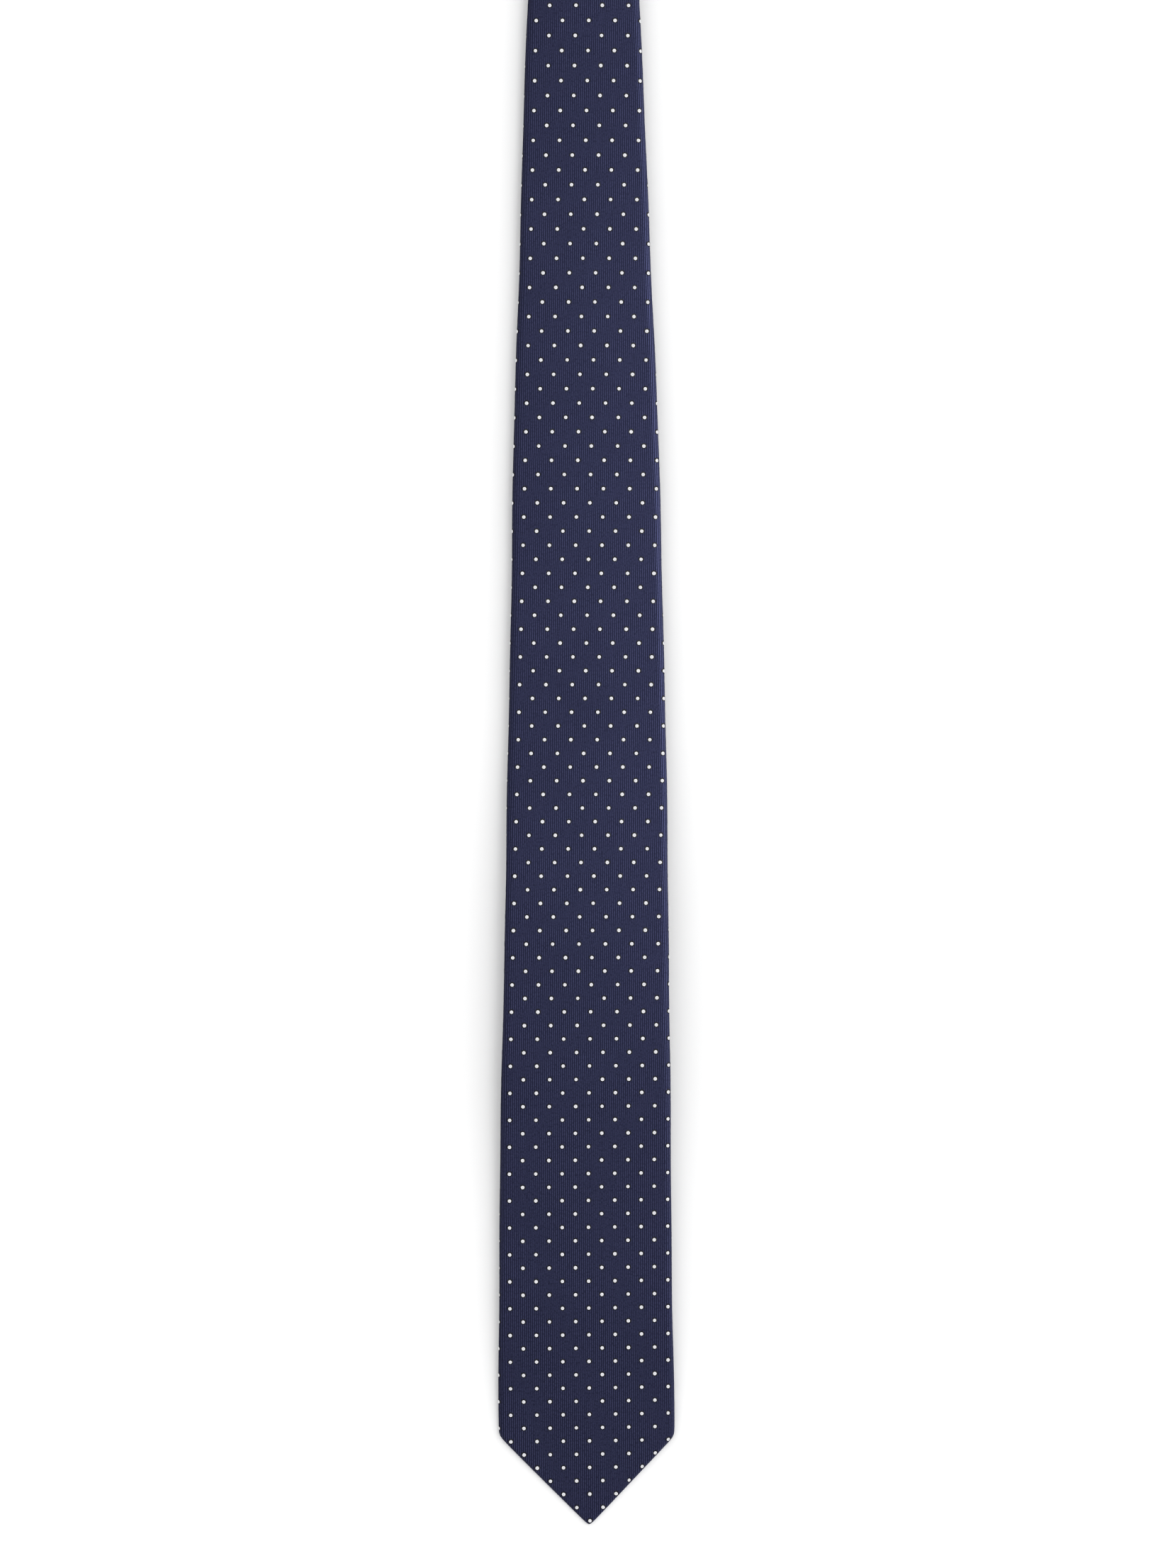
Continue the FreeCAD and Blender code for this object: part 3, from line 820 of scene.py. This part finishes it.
def interlining_piece(name, start, end):
    """A thick felted strip that fills the silk from edge to edge, lumpy as brushed wool is."""
    rows = row_places(start, end)
    share = np.linspace(-1, 1, 25)
    into_roll, gap, lumpiness, squareness, thinnest = 0.1, 0.12 * MM, 0.06 * MM, 6, 0.03

    def edge(s):
        across, _, flat, _ = roll_sizes(s)
        return flat + into_roll * across

    def surface(side):
        def at(a, s):
            body = thickness(s) * nose(s)
            low, high = 0.25 * body + 0.1 * MM, body - SILK - gap
            full = np.sqrt(np.clip(1 - a ** squareness, thinnest, 1))
            lump = lumpiness * np.sin(s / 0.0037 + 5 * a) * np.sin(s / 0.0061 + 11 * a)
            from_middle = side * full * ((high - low) / 2 + lump)
            return place(a * edge(s), s, lie(s) + (low + high) / 2 + from_middle)
        return at

    piece = slab_piece(name, share, rows, surface(1), surface(-1), FELT)
    edge(rows)
    return piece


def tipping_piece(name, side, window):
    """The lining that shows in the opening at the back of a point, slightly full between its hems."""
    near, far = 4 * MM, window["apex"] + 14 * MM
    rows = steps(*sorted((from_end(side, near), from_end(side, far))), 1.6 * MM)
    share = np.linspace(-1, 1, 49)
    clear_of_roll, depth_in_tie, thick = 0.1 * MM, 0.56 * MM, 0.22 * MM
    fullness, waviness = 0.1 * MM, 0.14 * MM

    def edge(s):
        _, _, flat, _ = roll_sizes(s)
        return flat - clear_of_roll

    def surface(depth):
        def at(a, s):
            puff = (waviness * np.sin(s / 0.0083 + 2.1 * a) + fullness) * (1 - a * a)
            return place(a * edge(s), s, lie(s) + depth_in_tie - puff + depth)
        return at

    points, faces, uv = slab(share, rows, surface(thick), surface(0.0))
    uv[:, 0] *= edge(uv[:, 1])
    piece = make_piece(name, points, faces, [LINING], np.concatenate([uv, uv]))
    edge(rows)
    return piece


# ---- stitches ----
def slip_stitch_piece(name, start, end):
    """The thread of the back seam: it crosses the slit from flap to flap, deep and shallow by turns."""
    s = steps(start, end, 0.9 * MM)
    pitch, sideways, middle, depth = 7 * MM, 0.34 * MM, 0.16 * MM, 0.10 * MM
    phase = s / pitch * 2 * math.pi
    run = place(sideways * np.sin(phase), s, middle + depth * np.cos(2 * phase))
    return threads_piece(name, [run], 0.10 * MM, NAVY_THREAD)


def bar_tack_piece(name, side, window):
    """A bar of satin stitches across the seam's end."""
    half, first, spacing, rise = 4 * MM, window["apex"] + 0.6 * MM, 0.17 * MM, 0.16 * MM
    x = np.linspace(-half, half, 15)
    runs = []
    for i in range(9):
        s = from_end(side, first + i * spacing)
        arch = rise * (1 - (x / half) ** 6) + 0.03 * MM * (i % 2)
        wobble = 0.04 * MM * math.sin(2.4 * i)
        runs.append(place(x + wobble, np.full_like(x, s), 0.05 * MM - arch))
    return threads_piece(name, runs, 0.12 * MM, NAVY_THREAD)


def stitch_line(start, end, surface_height, count):
    """Short stitches between two (x, s) places: each rises from the cloth and dives back into it."""
    rise, sink, share = 0.10 * MM, 0.04 * MM, np.linspace(0.14, 0.80, 7)
    arch = rise * np.sin(np.linspace(0, math.pi, len(share))) - sink
    runs = []
    for i in range(count):
        t = (i + share) / count
        x, s = start[0] + (end[0] - start[0]) * t, start[1] + (end[1] - start[1]) * t
        runs.append(place(x, s, surface_height - arch))
    return runs


def hem_stitches_piece(name, side, window):
    """Small stitches along both slanting hems of a point, on the tipping."""
    runs = []
    first, last = window["hem"] + 2 * MM, window["hem"] + window["side"] - 1 * MM
    inset, spacing = 0.55 * MM, 1.9 * MM
    count = int((last - first) / spacing)
    for sign in (-1, 1):
        near = (sign * (first - window["hem"] - inset), from_end(side, first))
        far = (sign * (last - window["hem"] - inset), from_end(side, last))
        runs += stitch_line(near, far, 0.30 * MM, count)
    return threads_piece(name, runs, 0.10 * MM, NAVY_THREAD)


def seam_piece(name, s_middle):
    """The welt of a slanting seam: a narrow sunk strip all round the tie."""
    reach = reach_at(s_middle)
    u = steps(-reach, reach, 0.4 * MM)
    x, _ = wrap(u, np.full_like(u, s_middle), 0)
    top, bottom = -0.16 * MM, -0.5 * MM

    def surface(lift):
        def at(a, b):
            flat_u = a.ravel()
            flat_s = s_middle + np.interp(flat_u, u, x) + b.ravel()
            limit = cloth_reach(flat_s)
            return on_silk(np.clip(flat_u, -limit, limit), flat_s, lift).reshape(*a.shape, 3)
        return at

    across = np.array([-1, -0.5, 0, 0.5, 1]) * (SEAM_HALF + 0.1 * MM)
    points, faces, uv = slab(u, across, surface(top), surface(bottom))
    uv[:, 1] += s_middle
    return make_piece(name, points, faces, [SILK_CLOTH], np.concatenate([uv, uv]))


# ---- keeper loop and labels ----
LOOP = {"s": 216 * MM, "width": 12 * MM, "opening": 42 * MM, "height": 4.4 * MM, "silk": 0.9 * MM}
LOOP_FOOT, LOOP_BEND = 7.5 * MM, 2.0 * MM


def loop_path():
    """The strap's middle (x, h) from foot to foot, the way out of the strap, and the length along it."""
    half, drop = LOOP["opening"] / 2 + LOOP["silk"] / 2, LOOP["height"] + LOOP["silk"] / 2
    foot_h, foot_end = -LOOP["silk"] / 2, LOOP["opening"] / 2 + LOOP["silk"] + LOOP_FOOT
    path = [(x, foot_h) for x in np.linspace(foot_end, half + 1.2 * MM, 7)]
    path += [(half + 0.35 * MM, foot_h - 0.12 * MM), (half, foot_h - 0.75 * MM)]
    path += [(half, h) for h in np.linspace(-1.6 * MM, -drop + LOOP_BEND, 4)]
    for turn in np.linspace(15, 90, 6) * math.pi / 180:
        path.append((half - LOOP_BEND * (1 - math.cos(turn)), -drop + LOOP_BEND * (1 - math.sin(turn))))
    path += [(x, -drop) for x in np.linspace(half - LOOP_BEND - 1.5 * MM, 0, 9)]
    path = np.array(path)
    path = np.concatenate([path, (path[:-1] * (-1, 1))[::-1]])
    ahead = np.gradient(path, axis=0)
    ahead /= np.linalg.norm(ahead, axis=1)[:, None]
    length = np.concatenate([[0], np.cumsum(np.linalg.norm(np.diff(path, axis=0), axis=1))])
    return path, np.stack([-ahead[:, 1], ahead[:, 0]], axis=1), length - length[-1] / 2


LOOP_PATH, LOOP_OUT, LOOP_ALONG = loop_path()


def strap_half_thickness(across):
    """Rounded down at the strap's two folded edges."""
    rounded_from = 0.86
    edge = np.clip((np.abs(across) / (LOOP["width"] / 2) - rounded_from) / (1 - rounded_from), 0, 1)
    return LOOP["silk"] / 2 * np.sqrt(1 - 0.9 * edge ** 2)


def on_loop(across, along, lift=0.0):
    """A point of the loop's outside: across its width, along its path, lift above it."""
    across, along, lift = np.broadcast_arrays(across, along, np.asarray(lift, float))
    x, h = (np.interp(along, LOOP_ALONG, LOOP_PATH[:, i]) for i in (0, 1))
    out_x, out_h = (np.interp(along, LOOP_ALONG, LOOP_OUT[:, i]) for i in (0, 1))
    reach = strap_half_thickness(across) + lift
    s = LOOP["s"] + across
    level = blade_height(np.float64(LOOP["s"])) - blade_height(s)
    return place(x + out_x * reach, s, h + out_h * reach + level)


def keeper_loop_piece():
    """The strap: ribs run along it, and its edges are folded in and rounded."""
    across = np.arange(-31, 32) * LOOP["width"] / 62
    along = np.unique(np.concatenate([LOOP_ALONG, steps(LOOP_ALONG[0], LOOP_ALONG[-1], 1.5 * MM)]))

    def outside(a, b):
        return on_loop(a, b, -RIB_DEPTH * (1 - rib_crest(a)))

    def inside(a, b):
        return on_loop(a, b, -2 * strap_half_thickness(a))

    piece = slab_piece("keeper_loop_strap", across, along, outside, inside, SILK_CLOTH)
    return piece


def loop_dots():
    """The strap's own dots, on its outside."""
    off_middle, widest, longest = 2.1 * MM, 4.9 * MM, LOOP_ALONG[-1] - 2 * MM
    middles = []
    for row in range(-7, 8):
        for k in range(-1, 2):
            across = (k + row % 2 / 2) * DOT["pitch"] - off_middle
            if abs(across) < widest and abs(row * DOT["row"]) < longest:
                middles.append((across, row * DOT["row"]))
    return dots_piece("keeper_loop_dots", middles, on_loop)


def loop_tacks_piece():
    """Four bars of stitches: two on each foot."""
    outer = LOOP["opening"] / 2 + LOOP["silk"] + LOOP_FOOT / 2
    off_middle, spacing, half, rise = 2.8 * MM, 0.2 * MM, 2.2 * MM, 0.12 * MM
    t = np.linspace(-1, 1, 9)
    lift = LOOP["silk"] + rise * (1 - t ** 4)
    runs = []
    for x in (-outer, outer):
        for way in (-1, 1):
            for i in range(-2, 3):
                s = LOOP["s"] + way * off_middle + i * spacing
                level = float(blade_height(np.float64(LOOP["s"])) - blade_height(np.float64(s)))
                runs.append(place(x + half * t, np.full_like(t, s), level - lift))
    return threads_piece("keeper_loop_bar_stitches", runs, 0.11 * MM, NAVY_THREAD)


def maker_label_pieces():
    """A blank woven label across the seam, ends folded under, held by a line of stitches at each end."""
    s0, s1, half = MAKER_LABEL["start"], MAKER_LABEL["end"], MAKER_LABEL["half"]
    thick, turned_in, waviness = 0.27 * MM, 0.5 * MM, 0.05 * MM

    def surface(depth):
        def at(a, s):
            ends = np.clip((np.abs(a) - half + turned_in) / turned_in, 0, 1) ** 2
            wave = waviness * np.sin(a / 0.0041) * np.cos(s / 0.0033)
            return place(a, s, -depth - wave * (depth > 0) + ends * depth * 0.4)
        return at

    grid = steps(-half, half, 0.5 * MM), steps(s0, s1, 0.5 * MM)
    label = slab_piece("blank_maker_label", *grid, surface(0.0), surface(thick), LABEL)
    row_x, first, last = half - 0.9 * MM, s0 + 0.6 * MM, s1 - 0.6 * MM
    runs = []
    for x in (-row_x, row_x):
        runs += stitch_line((x, first), (x, last), -0.28 * MM, 11)
    return label, threads_piece("maker_label_hand_stitches", runs, 0.09 * MM, LABEL_THREAD)


def care_label_pieces():
    """A blank satin ribbon whose free end curls a little, and the stitches along its top edge."""
    s0, s1, half = CARE_LABEL["start"], CARE_LABEL["end"], CARE_LABEL["half"]
    on_lining, thick, curling, waviness = 0.30 * MM, 0.16 * MM, 0.22 * MM, 0.05 * MM

    def surface(depth):
        def at(a, s):
            free = (s1 - s) / (s1 - s0)
            curl = curling * free ** 2 * np.cos(a / half * 1.3) + waviness * np.sin(a / 0.0023) * free
            return place(a, s, on_lining - depth - curl)
        return at

    grid = steps(-half, half, 0.5 * MM), steps(s0, s1, 0.6 * MM)
    label = slab_piece("blank_care_label", *grid, surface(0.0), surface(thick), RIBBON)
    row_half, row_s = half - 0.4 * MM, s1 + 0.8 * MM
    row = stitch_line((-row_half, row_s), (row_half, row_s), on_lining, 8)
    return label, threads_piece("care_label_hand_stitches", row, 0.09 * MM, NAVY_THREAD)


# ---- assembly ----
def rides(body):
    return lambda piece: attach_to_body(piece, body)


def bend_turn_up(piece):
    """Bakes the piece's placement into its mesh; the ends of the turn-up's bend are worked out but nothing
    bends.
    """
    y = float(place(0.0, TURN_UP, 0)[1])
    start, end = (0, y - TURN_UP_REACH, 0), (0, y + TURN_UP_REACH, 0)
    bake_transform(piece)
    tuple(start)
    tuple(end)


def bends_at_neck():
    """Bakes a piece's placement into its mesh; nothing bends."""
    return lambda piece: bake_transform(piece)


BLADE_AT_NECK = bends_at_neck()
TAIL_AT_NECK = bends_at_neck()


def finish_piece(piece, slot, attach, *nodes):
    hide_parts(*nodes)
    attach(piece)


def silk_with_dots(name, nodes, start, end, attach, grain=blade_grain, slants=(False, False)):
    finish_piece(silk_piece(name, start, end, grain, *slants), "dotted_silk", attach, *nodes)
    dots = dots_piece(name.replace("silk", "pin_dots"), dot_places(start, end, grain, *slants))
    attach(dots)


def build_silk():
    """Five lengths of silk with their dots, and the welts of the two slanting seams."""
    cut = SEAM_HALF + 0.05 * MM
    to_seam, from_seam = (False, True), (True, False)
    silk_with_dots("blade_silk_lower", ["blade_shell_lower"], 0.0, BLADE_PIECE_END, bend_turn_up)
    silk_with_dots(
        "blade_silk_upper", ["blade_shell_upper"], BLADE_PIECE_END, BLADE_SEAM - cut,
        rides("blade_upper"), slants=to_seam,
    )
    silk_with_dots(
        "neck_silk_blade_side", ["neck_shell_blade_side"], BLADE_SEAM + cut, FOLD_TOP,
        BLADE_AT_NECK, neck_grain, from_seam,
    )
    silk_with_dots(
        "neck_silk_tail_side", ["neck_shell_tail_side", "neck_bend_shell"], FOLD_TOP, TAIL_SEAM - cut,
        TAIL_AT_NECK, neck_grain, to_seam,
    )
    silk_with_dots(
        "tail_silk", ["tail_shell"], TAIL_SEAM + cut, TIE_LENGTH, rides("tail"), neck_grain, from_seam,
    )
    for side, s, body in (("blade", BLADE_SEAM, "blade_upper"), ("tail", TAIL_SEAM, "tail")):
        welt = seam_piece(f"{side}_neck_seam_welt", s)
        finish_piece(welt, "dotted_silk", rides(body), f"{side}_neck_seam")


def build_lengths(make, slot, first, last, names_and_nodes):
    """The three lengths of something that runs all along the tie."""
    ends = (first, BLADE_PIECE_END, FOLD_TOP, last)
    attachments = (bend_turn_up, BLADE_AT_NECK, TAIL_AT_NECK)
    for (name, *nodes), start, end, attach in zip(names_and_nodes, ends, ends[1:], attachments):
        finish_piece(make(name, start, end), slot, attach, *nodes)


def build_ends():
    """What shows in the opening at the back of each point."""
    for side, window, body in (("blade", BLADE_WINDOW, "blade_lower"), ("tail", TAIL_WINDOW, "tail")):
        tipping = tipping_piece(f"{side}_tipping_lining", side, window)
        finish_piece(tipping, "tipping_lining", rides(body), f"{side}_tipping")
        tack = bar_tack_piece(f"{side}_bar_tack_threads", side, window)
        finish_piece(tack, "thread", rides(body), f"{side}_bar_tack")
        hem = hem_stitches_piece(f"{side}_hem_hand_stitches", side, window)
        finish_piece(hem, "thread", rides(body), f"{side}_hem_stitches")


def build_loop_and_labels():
    on_blade = rides("blade_lower")
    finish_piece(keeper_loop_piece(), "dotted_silk", on_blade, "keeper_loop")
    finish_piece(loop_dots(), "dotted_silk", on_blade)
    finish_piece(loop_tacks_piece(), "thread", on_blade, "keeper_loop_tacks")
    label, stitches = maker_label_pieces()
    finish_piece(label, "woven_label", on_blade, "maker_label")
    finish_piece(stitches, "thread", on_blade, "maker_label_stitches")
    label, stitches = care_label_pieces()
    finish_piece(label, "satin_label", rides("care_label"), "care_label")
    finish_piece(stitches, "thread", on_blade, "care_label_stitch")


def build_tie():
    from_point, past_opening = 4 * MM, 2.5 * MM
    build_silk()
    build_lengths(interlining_piece, "wool_interlining", from_point, TIE_LENGTH - from_point, (
        ("interlining_blade_end", "blade_interlining_lower"),
        ("interlining_blade_and_neck", "blade_interlining_upper"),
        ("interlining_tail", "tail_interlining", "neck_bend_interlining"),
    ))
    build_ends()
    first, last = BLADE_WINDOW["apex"] + past_opening, TIE_LENGTH - TAIL_WINDOW["apex"] - past_opening
    build_lengths(slip_stitch_piece, "thread", first, last, (
        ("slip_stitch_blade_end", "blade_slip_stitch_lower"),
        ("slip_stitch_blade", "blade_slip_stitch_upper"),
        ("slip_stitch_tail", "tail_slip_stitch"),
    ))
    build_loop_and_labels()


# ---- stage, lights and camera ----
def build_stage():
    half = 20.0
    corners = [(-half, -half, 0), (half, -half, 0), (half, half, 0), (-half, half, 0)]
    make_piece("floor", corners, [(0, 1, 2, 3)], [paper_floor()])


def area_light(name, at, size, power, highlight_only=False):
    """A square softbox that points at the tie."""
    aim = (0, -0.1, 0)
    data = bpy.data.lights.new(name, "AREA")
    data.shape = "SQUARE"
    data.size = size
    data.energy = power
    light = add_object(name, data)
    light.location = at
    light.rotation_euler = (Vector(aim) - Vector(at)).to_track_quat("-Z", "Y").to_euler()
    light.visible_diffuse = not highlight_only


def build_lights():
    """A white room, brighter low down and to the right, a softbox above, and one only for highlights."""
    brighter_towards, middle_strength = (0.12, 0.05, -0.50), 1.34
    world = bpy.data.worlds.new("studio")
    world.use_nodes = True
    tree = world.node_tree
    place_on_sky = tree.nodes.new("ShaderNodeTexCoord").outputs["Generated"]
    towards = tree.nodes.new("ShaderNodeVectorMath")
    towards.operation = "DOT_PRODUCT"
    tree.links.new(place_on_sky, towards.inputs[0])
    towards.inputs[1].default_value = brighter_towards
    strength = tree.nodes.new("ShaderNodeMath")
    strength.operation = "ADD"
    tree.links.new(towards.outputs["Value"], strength.inputs[0])
    strength.inputs[1].default_value = middle_strength
    tree.links.new(strength.outputs[0], tree.nodes["Background"].inputs["Strength"])
    tree.nodes["Background"].inputs["Color"].default_value = (1, 1, 1, 1)
    bpy.context.scene.world = world
    area_light("softbox_above", (0.95, 0.65, 3.00), size=1.3, power=16)
    area_light("small_softbox", (0.36, 0.07, 0.42), size=0.22, power=12, highlight_only=True)


def build_camera():
    """Straight above, framed as the blade fills the picture, with its point just above the lower edge."""
    picture_height, below_point, right, face_height = 0.6218, 16.8 * MM, 0.3 * MM, 4 * MM
    lens, sensor = 85.0, 36.0
    data = bpy.data.cameras.new("camera")
    data.lens, data.sensor_width = lens, sensor
    camera = add_object("camera", data)
    middle_y = cad_low.y - POINT_END - below_point + picture_height / 2
    camera.location = (right, middle_y, face_height + picture_height * lens / sensor)
    bpy.context.scene.camera = camera


build_camera()
build_tie()
build_stage()
build_lights()
bpy.context.scene.view_settings.view_transform = "Standard"
